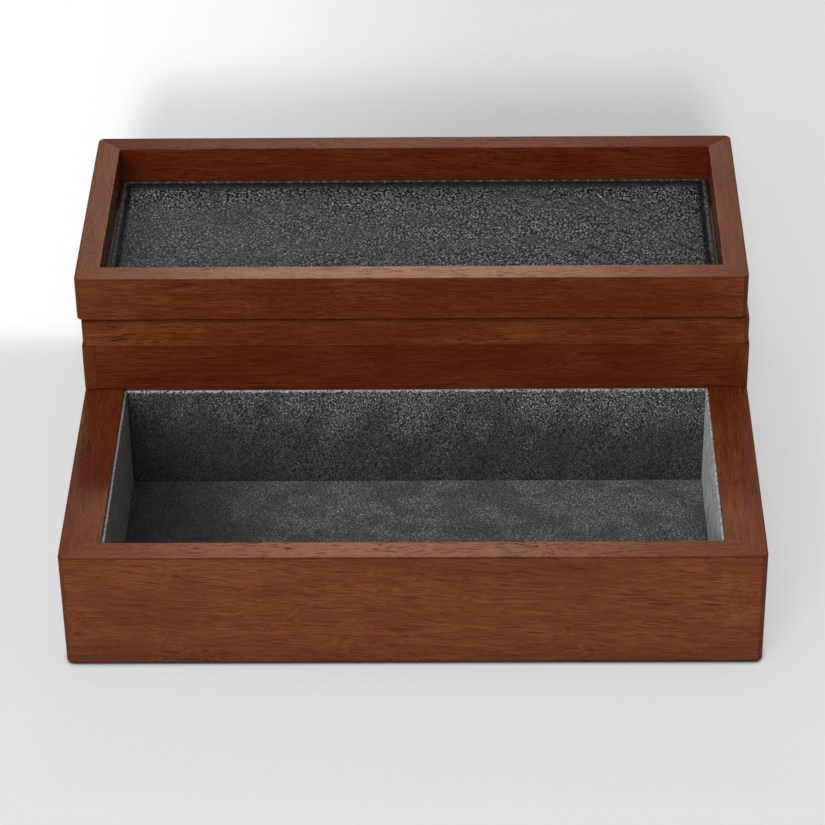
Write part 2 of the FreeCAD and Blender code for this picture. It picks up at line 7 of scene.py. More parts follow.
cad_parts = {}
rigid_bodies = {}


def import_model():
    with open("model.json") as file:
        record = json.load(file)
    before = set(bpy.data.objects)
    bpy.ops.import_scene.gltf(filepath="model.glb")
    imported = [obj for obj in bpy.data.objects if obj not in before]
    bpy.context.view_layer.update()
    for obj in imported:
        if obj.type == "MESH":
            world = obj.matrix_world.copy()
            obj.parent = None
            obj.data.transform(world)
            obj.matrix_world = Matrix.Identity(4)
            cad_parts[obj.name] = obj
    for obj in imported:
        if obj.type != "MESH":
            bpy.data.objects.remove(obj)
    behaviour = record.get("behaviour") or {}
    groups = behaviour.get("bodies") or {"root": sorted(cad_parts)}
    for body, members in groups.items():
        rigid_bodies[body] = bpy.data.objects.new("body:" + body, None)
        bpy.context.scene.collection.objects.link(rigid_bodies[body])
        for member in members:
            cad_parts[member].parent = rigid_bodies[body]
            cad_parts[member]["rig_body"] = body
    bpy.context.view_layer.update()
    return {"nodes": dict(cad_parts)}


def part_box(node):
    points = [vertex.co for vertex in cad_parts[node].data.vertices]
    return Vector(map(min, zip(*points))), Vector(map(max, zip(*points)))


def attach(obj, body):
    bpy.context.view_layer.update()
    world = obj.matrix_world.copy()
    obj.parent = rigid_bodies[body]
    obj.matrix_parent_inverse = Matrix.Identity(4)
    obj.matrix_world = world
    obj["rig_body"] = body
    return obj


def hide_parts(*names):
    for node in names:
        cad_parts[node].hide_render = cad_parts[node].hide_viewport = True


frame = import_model()

MM = 0.001

# Camera, as fitted to the corners of the lid, the band and the drawer: place and clip in metres, turns in
# degrees, lens and sensor in millimetres.
CAMERA_PLACE = (0.02464, -1.29696, 0.90030)
CAMERA_PITCH = 34.7726
CAMERA_YAW = 1.2219
CAMERA_ROLL = -0.9224
CAMERA_LENS = 141.354
CAMERA_SENSOR = 36.0
CAMERA_CLIP = 50.0

# Lights, in metres: name, place, size, brightness of the lamp's face, what it faces, and its colour.
NEUTRAL = (1.0, 1.0, 1.0)
WARM = (1.0, 0.84, 0.68)
WORLD_LEVEL = 0.32
SOFTBOXES = (
    ("key", (-0.75, -2.2, 1.25), (1.5, 0.9), 6.8, (0.0, 0.0, 0.05), NEUTRAL),
    ("left", (-1.9, -0.3, 1.2), (0.9, 0.9), 1.0, (0.0, 0.0, 0.05), NEUTRAL),
    ("top", (-0.1, 0.0, 2.4), (1.6, 1.2), 1.2, (0.0, 0.0, 0.05), NEUTRAL),
    ("back", (-0.05, 1.6, 1.25), (0.5, 0.22), 11.5, (0.0, 0.0, 0.08), WARM),
)

# The paper under the object, white far left and a light grey elsewhere. Its own tone turns from left to
# right over PAPER_X and from near to far over PAPER_Y; PAPER_SHARE of what is seen of it is that tone.
PAPER_X = (-0.26, 0.24)
PAPER_Y = (0.02, 0.09)
PAPER_NEAR = (0.92, 0.93)
PAPER_FAR = (1.00, 0.93)
PAPER_SHARE = 0.5

# Painted contact shadow: the dark line painted where the object stands on the paper, within this
# distance.
CONTACT = 4 * MM

# The shadow behind the object, painted on the paper where the key light casts its own: half its width,
# where it ends, and its tone.
SHADOW_X = (0.14, 0.185)
SHADOW_Y = (0.26, 0.40)
SHADOW_START = (0.0, 0.08)
SHADOW_TONE = 0.7

# Further off the paper has one even tone, and it sweeps up all round: radius and height, in metres.
PAPER_AWAY = (0.55, 1.6)
BACKDROP_TONE = 0.88
SWEEP = ((3.0, 0.0), (9.0, 0.0), (11.0, 0.15), (12.5, 0.7), (13.6, 1.8), (14.2, 3.4), (14.4, 5.2))
SWEEP_SIDES = 64

# Wood: its gloss, how dark the painted shade makes the outer arrises and corners and the under arrises,
# and the length and width of each feature of the grain, in millimetres.
GLOSS = 0.32
SATIN = (0.25, 0.36)
LACQUER_TINT = (1.0, 0.58, 0.32, 1.0)
ARRIS_SHADE = 0.5
UNDER_SHADE = 0.1
GRAIN_DEPTH = 0.04 * MM
WANDER = (48, 18)
WANDER_REACH = 8.0
CLOUD = (60, 14)
BAND = (40, 2.2)
FIBRE = (14, 0.4)
HUE = (42, 20)
PORE_CLUSTER = (34, 7)
LONG_PORE = (28, 0.8)
FINE_PORE = (13, 0.6)

# Wood, by height, with painted shade: the drawer's front fades to this tone at its foot, and the lid's
# inner sides fade over this height to this tone where they meet the mat.
FRONT_FADE = (3 * MM, 18 * MM, 0.8)
INSIDE_FADE = 12 * MM
INSIDE_TONE = 0.3

# Suede cards. A card that is taller than CARD_UPRIGHT stands.
CARD_UPRIGHT = 5 * MM
CARD_RADIUS = 0.45 * MM
CARD_CELL = 1.6 * MM
CARD_SHY = 0.06 * MM
CARD_RIPPLE = 0.07 * MM
CARD_RIPPLE_RUN = 9 * MM
CARD_FUZZ = 0.04 * MM
CARD_FUZZ_RUN = 1.3 * MM

# Suede: the nap leans by this many degrees, and its painted light grows from here to there across the
# box. Then the length and width of its tufts, painted glints, brush marks and streaks, and the size of
# its mottles, in millimetres.
NAP_LEAN = 58
NAP_LIT = (-125 * MM, -40 * MM)
NAP_TUFT = (1.3, 0.55)
NAP_GLINT = (1.0, 0.5)
NAP_BRUSHED = (30, 14)
NAP_STREAK = (9, 2.0)
NAP_MOTTLE = 2.4
NAP_BRIGHTEST = (0.8, 0.8, 0.8)
NAP_DEPTH = 0.9 * MM

# Painted highlight along a card's top edge: size of its ragged tips, how far down they reach, its soft
# end.
FRINGE_TIP = 0.9
FRINGE_RISE = 0.2 * MM
FRINGE_REACH = 1.5 * MM
FRINGE_END = 0.4 * MM

# Felt: length and width of its fibres and size of its clumps, in millimetres.
FELT_FIBRE = (1.6, 0.4)
FELT_CLUMP = 3.0
FELT_DEPTH = 0.25 * MM

# Felt dots under the lid.
BUMPER_RADIUS = 2.5 * MM
BUMPER_SIDES = 40
BUMPER_FUZZ = 0.06
BUMPER_FUZZ_RUN = 0.8 * MM

# Leather: sizes of its pebbles and grains, and length and width of its other marks (painted glints,
# zones of painted highlight, folds and creases), in millimetres.
PEBBLE = 1.15
PEBBLE_DRIFT = 2.6
PEBBLE_DRIFT_REACH = 1.8
UNEVEN = 1.7
GRAIN = 0.95
SPARK = (0.95, 0.8)
ZONE = (26, 12)
FOLD = (9, 4)
CREASE = (16, 2.4)
CREASE_SLANT = 38
LEATHER_DEPTH = 0.5 * MM

# Leather, by the distance to its edge or its back edge: where each zone fades in or out. The groove and
# the band along the back edge are painted shade, and the lively zone is painted highlight.
HEM_FADE = (1.6 * MM, 2.6 * MM)
GROOVE_IN = (1.9 * MM, 2.8 * MM)
GROOVE_OUT = (6.5 * MM, 3.8 * MM)
BACK_SHADOW_OUT = (12 * MM, 6 * MM)
LIVELY_IN = (9 * MM, 13 * MM)
CALM_OUT = (34 * MM, 22 * MM)

# Leather, across the box: where its painted highlights grow from calm to lively, and where its creases,
# with their painted shade, begin.
CALM_X = (-80 * MM, 0.0)
CREASE_X = (-10 * MM, 60 * MM)

# Thread and brass: size of the twist and of the stains, and length and width of the brush lines, in
# millimetres.
THREAD_TWIST = 0.5
THREAD_DEPTH = 0.1 * MM
BRUSH_LINE = (14, 0.25)
BRUSH_DEPTH = 0.01 * MM
BRASS_STAIN = 9.0

# Leather mat: its rolled edge, its crease, and how it rises behind it. A run is the length of a slope or
# of one wave.
PAD_CORNER = 2.0 * MM
PAD_ROLL = 0.95 * MM
PAD_CELL = 1.1 * MM
PAD_CREASE = 2.9 * MM
PAD_CREASE_WIDTH = 0.75 * MM
PAD_CREASE_DEPTH = 0.3 * MM
PAD_HEM = 1.25 * MM
PAD_RISE = 1.0 * MM
PAD_RISE_RUN = 2.8 * MM
PAD_CROWN = 0.6 * MM
PAD_CROWN_RUN = 11.0 * MM
PAD_BOTTOM = 0.1 * MM
PAD_FOLD = 0.2 * MM
PAD_FOLD_RUN = 0.62 * MM
PAD_FOLD_MIDDLE = 6.2 * MM
PAD_FOLD_IN = (3.4 * MM, 5 * MM)
PAD_FOLD_OUT = (8 * MM, 12 * MM)
PAD_FOLD_UNEVEN_RUN = 16 * MM
PAD_WANDER = 1.2 * MM
PAD_WANDER_RUN = 30 * MM
PAD_SWELL = 0.28 * MM
PAD_SWELL_RUN = 34 * MM
PAD_SWELL_IN = (2.0 * MM, 6.0 * MM)
PAD_CRUMPLE = 0.07 * MM
PAD_CRUMPLE_RUN = 5 * MM
STITCH_INSET = 1.6 * MM
STITCH_PITCH = 5.8 * MM
STITCH_LENGTH = 1.8 * MM
STITCH_RADIUS = 0.3 * MM
STITCH_SIDES = 8
STITCH_STATIONS = (-0.5, -0.38, -0.15, 0.15, 0.38, 0.5)
STITCH_TURN = 4
STITCH_TURN_RUN = 3 * MM
STITCH_SINK_RUN = 2.3 * MM


class Finish:
    """A node material, with short calls for the nodes that the finishes share."""

    def __init__(self, name):
        self.material = bpy.data.materials.new(name)
        self.material.use_nodes = True
        self.tree = self.material.node_tree
        self.shader = self.tree.nodes["Principled BSDF"]

    def add(self, kind, inputs=None, **settings):
        """A new shader node of that kind, with its inputs fed and its settings made."""
        node = self.tree.nodes.new("ShaderNode" + kind)
        for key, value in settings.items():
            setattr(node, key, value)
        for key, value in (inputs or {}).items():
            self.feed(node.inputs[key], value)
        return node

    def feed(self, socket, value):
        """Links the socket to another one, or sets its value."""
        if isinstance(value, bpy.types.NodeSocket):
            self.tree.links.new(value, socket)
        else:
            socket.default_value = value

    def set(self, **values):
        """Sets or links inputs of the surface shader; an underscore stands for a space."""
        for key, value in values.items():
            self.feed(self.shader.inputs[key.replace("_", " ")], value)

    def maths(self, operation, first, second=0.0, third=0.0):
        """One sum on numbers."""
        node = self.add("Math", operation=operation)
        for socket, value in zip(node.inputs, (first, second, third)):
            self.feed(socket, value)
        return node.outputs[0]

    def vector(self, operation, first, second):
        """One sum on vectors or colours."""
        node = self.add("VectorMath", operation=operation)
        self.feed(node.inputs[0], first)
        self.feed(node.inputs[1], second)
        return node.outputs[0]

    def place(self, shift=(0, 0, 0), turn=(0, 0, 0)):
        """Object coordinates in millimetres, shifted and turned."""
        coordinates = self.add("TexCoord").outputs["Object"]
        inputs = {"Vector": coordinates, "Location": shift, "Rotation": turn, "Scale": (1 / MM,) * 3}
        return self.add("Mapping", inputs).outputs[0]

    def stretched(self, vector, length, width):
        """Coordinates in which a feature of that length along X and that width across is one unit."""
        return self.vector("MULTIPLY", vector, (1 / length, 1 / width, 1 / width))

    def noise(self, vector, scale=1.0, detail=2.0, roughness=0.5):
        """Soft noise, mostly between 0.3 and 0.7."""
        inputs = {"Vector": vector, "Scale": scale, "Detail": detail, "Roughness": roughness}
        return self.add("TexNoise", inputs).outputs["Fac"]

    def grey(self, value):
        """A grey of that level."""
        return self.add("CombineColor", {0: value, 1: value, 2: value}).outputs[0]

    def remap(self, value, low, high, to_low=0.0, to_high=1.0):
        """The value, eased from one range to another."""
        inputs = {"From Min": low, "From Max": high, "To Min": to_low, "To Max": to_high}
        node = self.add("MapRange", inputs, interpolation_type="SMOOTHSTEP")
        self.feed(node.inputs["Value"], value)
        return node.outputs["Result"]

    def mix(self, factor, first, second, blend="MIX"):
        """The first colour where the factor is 0, and the second one where it is 1."""
        node = self.add("Mix", data_type="RGBA", blend_type=blend)
        self.feed(node.inputs[0], factor)
        self.feed(node.inputs[6], first)
        self.feed(node.inputs[7], second)
        return node.outputs[2]

    def bump(self, height, depth):
        """A bump whose full height, 0 to 1, stands for depth in metres."""
        return self.add("Bump", {"Height": height, "Strength": 1.0, "Distance": depth}).outputs[0]


def colour(red, green, blue):
    """A linear colour from the 0 to 255 values of the screen."""

    def linear(value):
        share = value / 255
        return share / 12.92 if share <= 0.04045 else ((share + 0.055) / 1.055) ** 2.4

    return (linear(red), linear(green), linear(blue), 1.0)


# ---------------------------------------------------------------- finishes

MAHOGANY = colour(116, 50, 24)
MAHOGANY_DARK = colour(82, 29, 14)
MAHOGANY_RED = colour(112, 42, 19)
MAHOGANY_GOLD = colour(127, 70, 37)
PORE = colour(44, 15, 8)


class Cut:
    """How one board was cut and its stain, with painted shade: more gold or red, lighter or darker, grain
    slant in degrees.

    outward is the way that its outer face looks, across the box; its outer arrises get painted shade.
    fade gives the heights between which the whole board fades to darker, as painted shade, and the tone
    at the lower one; inside gives the same painted shade for its inner face.
    """

    def __init__(
        self, gold=0.45, tone=1.0, slant=1.5, outward=(0, 0), fade=None, inside=None, gloss=GLOSS
    ):
        self.gold = gold
        self.tone = tone
        self.slant = slant
        self.outward = outward
        self.fade = fade
        self.inside = inside
        self.gloss = gloss


def mahogany(name, along, seed, cut):
    """Stained mahogany under a satin lacquer, with its grain along X or Y."""
    wood = Finish(name)
    slant = math.radians(cut.slant)
    turn = (0, slant, slant / 2) if along == "x" else (slant, 0, slant / 2 - math.pi / 2)
    place = wood.place(shift=(seed * 71.3, seed * 37.9, seed * 53.1), turn=turn)

    wander = wood.add("TexNoise", {"Vector": wood.stretched(place, *WANDER), "Scale": 1.0, "Detail": 2.0})
    drift = wood.vector("SUBTRACT", wander.outputs["Color"], (0.5, 0.5, 0.5))
    grain = wood.vector("ADD", place, wood.vector("MULTIPLY", drift, (0.0, WANDER_REACH, WANDER_REACH)))

    clouds = wood.noise(wood.stretched(grain, *CLOUD), detail=2)
    bands = wood.noise(wood.stretched(grain, *BAND), detail=2)
    fibres = wood.noise(wood.stretched(grain, *FIBRE), detail=2, roughness=0.65)
    hue = wood.noise(wood.stretched(place, *HUE), detail=2)

    golden = wood.remap(hue, 0.32, 0.68, cut.gold - 0.3, cut.gold + 0.3)
    base = wood.mix(golden, MAHOGANY_RED, MAHOGANY_GOLD)
    base = wood.mix(wood.remap(clouds, 0.3, 0.7, 0.5, 0.0), base, MAHOGANY)
    base = wood.mix(wood.remap(clouds, 0.5, 0.28, 0.0, 0.3), base, MAHOGANY_DARK)
    base = wood.mix(wood.remap(bands, 0.34, 0.6, 0.35, 0.0), base, MAHOGANY_DARK)
    base = wood.mix(wood.remap(fibres, 0.38, 0.6, 0.68, 0.0), base, MAHOGANY_DARK)

    long_pores = dashes(wood, grain, LONG_PORE, share=0.7)
    fine_pores = dashes(wood, grain, FINE_PORE, share=1.0)
    clusters = wood.remap(wood.noise(wood.stretched(place, *PORE_CLUSTER), detail=1), 0.34, 0.6, 0.3, 1.0)
    dark = wood.maths("MAXIMUM", long_pores, wood.maths("MULTIPLY", fine_pores, 0.8))
    dark = wood.maths("MULTIPLY", dark, clusters)
    base = wood.mix(wood.maths("MULTIPLY", dark, 0.85), base, PORE)
    # Painted shade: the board darker along its arrises and corners and by height.
    shade, worn = tone_and_painted_shade(wood, cut)
    base = wood.mix(1.0, base, wood.grey(shade), blend="MULTIPLY")

    relief = wood.maths("SUBTRACT", wood.maths("MULTIPLY", fibres, 0.25), dark)
    satin = wood.remap(wood.maths("ADD", bands, dark), 0.3, 1.5, *SATIN)
    wood.set(
        Base_Color=base,
        Roughness=wood.maths("MULTIPLY_ADD", worn, 0.4, satin),
        Specular_IOR_Level=cut.gloss,
        Specular_Tint=LACQUER_TINT,
        Normal=wood.bump(relief, GRAIN_DEPTH),
    )
    return wood.material


def tone_and_painted_shade(wood, cut):
    """The board's tone, darker by painted shade along its outer arrises, corners and under arrises and
    by height, and how far a spot is on the arrises and corners.
    """
    parts = wood.add("SeparateXYZ", {"Vector": wood.add("TexCoord").outputs["Normal"]}).outputs
    outward = wood.maths("MULTIPLY", parts[0], cut.outward[0])
    outward = wood.maths("MULTIPLY_ADD", parts[1], cut.outward[1], outward)
    tilt = wood.maths("ABSOLUTE", parts[2])
    bent = wood.maths("MULTIPLY", wood.remap(tilt, 0.12, 0.35), wood.remap(tilt, 0.97, 0.86))
    bent = wood.maths("MULTIPLY", bent, wood.remap(outward, 0.2, 0.45))
    corner = wood.maths("ABSOLUTE", wood.maths("MULTIPLY", parts[0], parts[1]))
    corner = wood.remap(corner, 0.1, 0.35)
    worn = wood.maths("MAXIMUM", bent, corner)
    bent = wood.maths("MAXIMUM", bent, wood.maths("MULTIPLY", corner, 0.6))
    # Painted shade along the outer arrises and corners.
    shade = wood.remap(bent, 0.0, 1.0, cut.tone, cut.tone * ARRIS_SHADE)
    # Painted shade on the under arrises.
    steep = wood.remap(parts[2], -0.5, -0.12, 1.0, 0.0)
    under = wood.maths("MULTIPLY", steep, wood.remap(parts[2], -0.99, -0.93))
    shade = wood.maths("MULTIPLY", shade, wood.remap(under, 0.0, 1.0, 1.0, UNDER_SHADE))
    height = wood.add("SeparateXYZ", {"Vector": wood.add("TexCoord").outputs["Object"]}).outputs[2]
    # Painted shade by height, on the whole board and on its inner face.
    if cut.fade is not None:
        shade = wood.maths("MULTIPLY", shade, wood.remap(height, *cut.fade, 1.0))
    if cut.inside is not None:
        inner = wood.remap(outward, -0.8, -0.5, 1.0, 0.0)
        deep = wood.maths("SUBTRACT", 1.0, wood.remap(height, *cut.inside, 1.0))
        kept = wood.maths("SUBTRACT", 1.0, wood.maths("MULTIPLY", inner, deep))
        shade = wood.maths("MULTIPLY", shade, kept)
    return shade, worn


def dashes(wood, grain, size, share):
    """Vessel marks: thin spindles along the grain, one in some cells. 1 inside a mark, 0 outside."""
    cells = wood.add("TexVoronoi", {"Vector": wood.stretched(grain, *size), "Scale": 1.0})
    pick = wood.add("SeparateColor", {"Color": cells.outputs["Color"]}).outputs
    reach = wood.maths("MULTIPLY_ADD", pick[1], 0.22, 0.16)
    inside = wood.maths("SUBTRACT", reach, cells.outputs["Distance"])
    mark = wood.remap(inside, 0.0, 0.08)
    return wood.maths("MULTIPLY", mark, wood.maths("LESS_THAN", pick[0], share))


def plywood(name, seed):
    """A thin inner board: the same stain under the same satin lacquer, darker, with its grain along X."""
    return mahogany(name, "x", seed, Cut(tone=0.8))


# Suede colours. The standing nap is also the lit copy of the lying nap: painted light. The glints and the
# colour along the top edge are painted highlights; the mottles and streaks are the suede's own.
LYING_SHADED_LOW = colour(40, 40, 40)
LYING_SHADED_HIGH = colour(65, 65, 65)
STANDING_LIT_LOW = colour(15, 15, 16)
STANDING_LIT_HIGH = colour(97, 97, 96)
NAP_GLINT_COLOUR = colour(217, 216, 214)
NAP_MOTTLE_COLOUR = colour(24, 24, 24)
NAP_STREAK_COLOUR = colour(22, 22, 22)
FRINGE_HIGHLIGHT = colour(224, 225, 225)


def suede(name, seed, tone=1.0, fall=None, streaky=0.0):
    """Charcoal micro-suede with a short nap. Its light is painted: a highlight along an upright card's
    top edge, glints and more contrast where lit, and shade towards the left and towards a card's foot.

    tone scales the whole card as painted light; fall gives the heights of an upright card's foot and
    head, and its painted tone at each; streaky is how far the nap of a side card is streaked.
    """
    nap = Finish(name)
    place = nap.place(shift=(seed * 31.7, seed * 17.3, seed * 23.9), turn=(0, math.radians(NAP_LEAN), 0))
    fibres = nap.noise(nap.stretched(place, *NAP_TUFT), detail=2, roughness=0.6)
    glints = nap.noise(nap.stretched(nap.vector("ADD", place, (31, 17, 9)), *NAP_GLINT), detail=1)
    mottle = nap.noise(nap.place(shift=(seed, 0, 0)), scale=1 / NAP_MOTTLE, detail=2)
    brushed = nap.noise(nap.stretched(place, *NAP_BRUSHED), detail=2)
    parts = nap.add("SeparateXYZ", {"Vector": nap.add("TexCoord").outputs["Object"]}).outputs
    height = parts[2]

    # Painted light: more to the right, and up an upright card, mixed with the brushed nap.
    lit = nap.remap(parts[0], *NAP_LIT, 0.35, 1.0)
    nap_stand_and_light = nap.maths("MULTIPLY", nap.remap(brushed, 0.36, 0.64, 0.4, 1.0), lit)
    if fall is not None:
        foot, head, low, high = fall
        # Painted shade: an upright card darker towards its foot.
        shade = nap.remap(height, foot, head, low * tone, high * tone)
        rise = nap.remap(height, foot + (head - foot) * 0.2, head, 0.3, 1.0)
        nap_stand_and_light = nap.maths("MULTIPLY", nap_stand_and_light, rise)
    else:
        # Painted shade: a flat card darker towards the left.
        shade = nap.remap(parts[0], *NAP_LIT, 0.5 * tone, tone)
        nap_stand_and_light = nap.maths("MULTIPLY", nap_stand_and_light, 0.5)
    if streaky:
        nap_stand_and_light = nap.remap(brushed, 0.36, 0.64, 0.25, 0.5)
    # The standing colours are the lit copy: painted light mixed with the brushed nap.
    low_colour = nap.mix(nap_stand_and_light, LYING_SHADED_LOW, STANDING_LIT_LOW)
    high_colour = nap.mix(nap_stand_and_light, LYING_SHADED_HIGH, STANDING_LIT_HIGH)
    base = nap.mix(nap.remap(fibres, 0.36, 0.62), low_colour, high_colour)
    # Painted glints where the nap is lit.
    base = nap.mix(nap.maths("MULTIPLY", nap.remap(glints, 0.55, 0.67), nap_stand_and_light), base, NAP_GLINT_COLOUR)
    base = nap.mix(nap.remap(mottle, 0.55, 0.35, 0.0, 0.2), base, NAP_MOTTLE_COLOUR)
    if streaky:
        long, wide = NAP_STREAK
        upright = nap.vector("MULTIPLY", nap.place(shift=(0, seed, 0)), (1 / wide, 1 / wide, 1 / long))
        streaks = nap.remap(nap.noise(upright, detail=1), 0.56, 0.42, 0.0, streaky)
        base = nap.mix(streaks, base, NAP_STREAK_COLOUR)
    base = nap.mix(1.0, base, nap.grey(shade), blend="MULTIPLY")
    base = nap.vector("MINIMUM", base, NAP_BRIGHTEST)
    if fall is not None:
        # Painted highlight along the top edge, ragged like the tips of the nap.
        tips = nap.noise(place, scale=1 / FRINGE_TIP, detail=2, roughness=0.6)
        ragged = nap.maths("MULTIPLY_ADD", nap.remap(tips, 0.36, 0.64), -FRINGE_REACH, head + FRINGE_RISE)
        fringe_highlight = nap.remap(nap.maths("SUBTRACT", height, ragged), -FRINGE_END, FRINGE_END)
        fringe_highlight = nap.maths("MULTIPLY", fringe_highlight, 0.9 / math.sqrt(max(tone, 1.0)))
        base = nap.mix(fringe_highlight, base, FRINGE_HIGHLIGHT)
    relief = nap.maths("MULTIPLY", fibres, nap.remap(nap_stand_and_light, 0.0, 1.0, 0.4, 1.0))
    nap.set(
        Base_Color=base,
        Roughness=0.92,
        Specular_IOR_Level=0.2,
        Sheen_Weight=0.3,
        Sheen_Roughness=0.35,
        Sheen_Tint=(0.95, 0.94, 0.92, 1.0),
        Normal=nap.bump(relief, NAP_DEPTH),
    )
    return nap.material


FELT_DARK = colour(22, 22, 22)
FELT_LIGHT = colour(50, 49, 48)
FELT_CLUMP_COLOUR = colour(60, 59, 58)


def felt(name):
    """Pressed felt, nearly black."""
    pile = Finish(name)
    place = pile.place()
    fibres = pile.noise(pile.stretched(place, *FELT_FIBRE), detail=3, roughness=0.65)
    clumps = pile.noise(place, scale=1 / FELT_CLUMP, detail=3)
    base = pile.mix(pile.remap(fibres, 0.3, 0.7), FELT_DARK, FELT_LIGHT)
    base = pile.mix(pile.remap(clumps, 0.4, 0.7, 0.0, 0.4), base, FELT_CLUMP_COLOUR)
    pile.set(
        Base_Color=base,
        Roughness=0.95,
        Specular_IOR_Level=0.15,
        Sheen_Weight=0.3,
        Normal=pile.bump(fibres, FELT_DEPTH),
    )
    return pile.material


# The valleys, groove and creases get painted shade; the lively highs and the sparks are painted
# highlights.
LEATHER_HOLLOW_SHADE = colour(9, 9, 10)
CALM_LOW = colour(24, 25, 27)
CALM_HIGH = colour(103, 104, 106)
LIVELY_HIGHLIGHT = colour(190, 191, 193)
LEATHER_SPARK_HIGHLIGHT = colour(236, 238, 240)
LEATHER_HEM = colour(78, 82, 84)


def leather(low, high):
    """Black pebbled leather for a mat between these corners: pale hem, painted shade, painted highlights.
    """
    hide = Finish("leather")
    place = hide.place()
    drift = hide.add("TexNoise", {"Vector": place, "Scale": 1 / PEBBLE_DRIFT, "Detail": 2.0})
    reach = (PEBBLE_DRIFT_REACH, PEBBLE_DRIFT_REACH, 0.0)
    warped = hide.vector("ADD", place, hide.vector("MULTIPLY", drift.outputs["Color"], reach))
    warped = hide.vector("MULTIPLY", warped, (1.0, 0.7, 0.0))
    cones = hide.remap(pebble(hide, warped, PEBBLE), 0.66, -0.02)
    uneven = hide.remap(hide.noise(place, scale=1 / UNEVEN, detail=2), 0.36, 0.62, 0.35, 1.0)
    grains = hide.remap(hide.noise(place, scale=1 / GRAIN, detail=2, roughness=0.7), 0.36, 0.64)
    pebbles = hide.maths("MULTIPLY", cones, uneven)
    pebbles = hide.maths("MULTIPLY", pebbles, hide.remap(grains, 0.0, 0.8, 0.35, 1.15))
    sparks = hide.remap(hide.noise(hide.stretched(place, *SPARK), detail=1), 0.5, 0.68)
    zones = hide.remap(hide.noise(hide.stretched(place, *ZONE), detail=2), 0.3, 0.64)
    folds = hide.noise(hide.stretched(place, *FOLD), detail=3)

    parts = hide.add("SeparateXYZ", {"Vector": hide.add("TexCoord").outputs["Object"]}).outputs
    left = hide.maths("SUBTRACT", parts[0], low.x)
    right = hide.maths("SUBTRACT", high.x, parts[0])
    near = hide.maths("SUBTRACT", parts[1], low.y)
    back = hide.maths("SUBTRACT", high.y, parts[1])
    edge = hide.maths("MINIMUM", hide.maths("MINIMUM", left, right), hide.maths("MINIMUM", back, near))
    hem = hide.remap(edge, *HEM_FADE, 1.0, 0.0)
    # Painted shade in the groove inside the hem and in a band along the back edge.
    groove_shade = hide.maths("MULTIPLY", hide.remap(edge, *GROOVE_IN), hide.remap(edge, *GROOVE_OUT))
    shadow = hide.maths("MULTIPLY", hide.remap(back, *GROOVE_IN), hide.remap(back, *BACK_SHADOW_OUT))
    groove_shade = hide.maths("MAXIMUM", groove_shade, hide.maths("MULTIPLY", shadow, 0.9))
    # Painted highlights: the lively zone, lit more to the right and towards the back, with livelier
    # pebbles.
    lit_across = hide.remap(parts[0], *CALM_X, 0.3, 0.75)
    nearness = hide.remap(back, *CALM_OUT)
    lit = hide.maths("MULTIPLY", hide.remap(back, *LIVELY_IN), hide.maths("MAXIMUM", lit_across, nearness))
    lively_and_lit = hide.maths("MULTIPLY", zones, lit)
    slanting = hide.place(turn=(0, 0, math.radians(CREASE_SLANT)))
    # Creases: a dent in the bump, and painted shade in the colour.
    creases_and_shade = hide.remap(hide.noise(hide.stretched(slanting, *CREASE), detail=2), 0.56, 0.7)
    creases_and_shade = hide.maths("MULTIPLY", creases_and_shade, hide.remap(parts[0], *CREASE_X, 0.15, 0.8))

    pebbled = hide.mix(hide.remap(lively_and_lit, 0.0, 0.5, 0.45, 1.0), grains, pebbles)
    height = hide.maths("MULTIPLY", pebbled, hide.remap(lively_and_lit, 0.0, 1.0, 0.7, 1.0))
    height = hide.maths("ADD", height, hide.maths("MULTIPLY", folds, 0.6))
    height = hide.maths("SUBTRACT", height, hide.maths("MULTIPLY", creases_and_shade, 0.6))

    # Painted light: where lit, darker valleys, lighter pebble tops and glints.
    sparkling = hide.remap(lively_and_lit, 0.0, 0.6, 0.45, 0.95)
    base = hide.mix(lively_and_lit, CALM_LOW, LEATHER_HOLLOW_SHADE)
    base = hide.mix(pebbled, base, hide.mix(lively_and_lit, CALM_HIGH, LIVELY_HIGHLIGHT))
    sparks = hide.maths("MULTIPLY", sparks, hide.maths("MULTIPLY", pebbled, sparkling))
    base = hide.mix(sparks, base, LEATHER_SPARK_HIGHLIGHT)
    # Painted shade in the groove, along the back and in the creases.
    hollow_shade = hide.maths("MAXIMUM", hide.maths("MULTIPLY", groove_shade, 0.85), creases_and_shade)
    base = hide.mix(hollow_shade, base, LEATHER_HOLLOW_SHADE)
    base = hide.mix(hide.maths("MULTIPLY", hem, 0.6), base, LEATHER_HEM)
    hide.set(
        Base_Color=base,
        Roughness=hide.remap(pebbled, 0.0, 1.0, 0.65, 0.4),
        Specular_IOR_Level=0.25,
        Normal=hide.bump(height, LEATHER_DEPTH),
    )
    return hide.material


def pebble(hide, place, size):
    """Distance to the middle of the nearest pebble, in pebble sizes, on the flat of the hide."""
    inputs = {"Vector": place, "Scale": 1 / size, "Randomness": 1.0}
    return hide.add("TexVoronoi", inputs, voronoi_dimensions="2D").outputs["Distance"]


THREAD_DARK = colour(70, 72, 74)
THREAD_LIGHT = colour(136, 138, 140)


def thread():
    """Waxed charcoal thread."""
    cord = Finish("thread")
    twist = cord.noise(cord.place(), scale=1 / THREAD_TWIST, detail=2)
    cord.set(
        Base_Color=cord.mix(cord.remap(twist, 0.3, 0.7), THREAD_DARK, THREAD_LIGHT),
        Roughness=0.5,
        Sheen_Weight=0.3,
        Normal=cord.bump(twist, THREAD_DEPTH),
    )
    return cord.material


BRASS_BRIGHT = colour(196, 156, 92)
BRASS_DULL = colour(140, 104, 58)


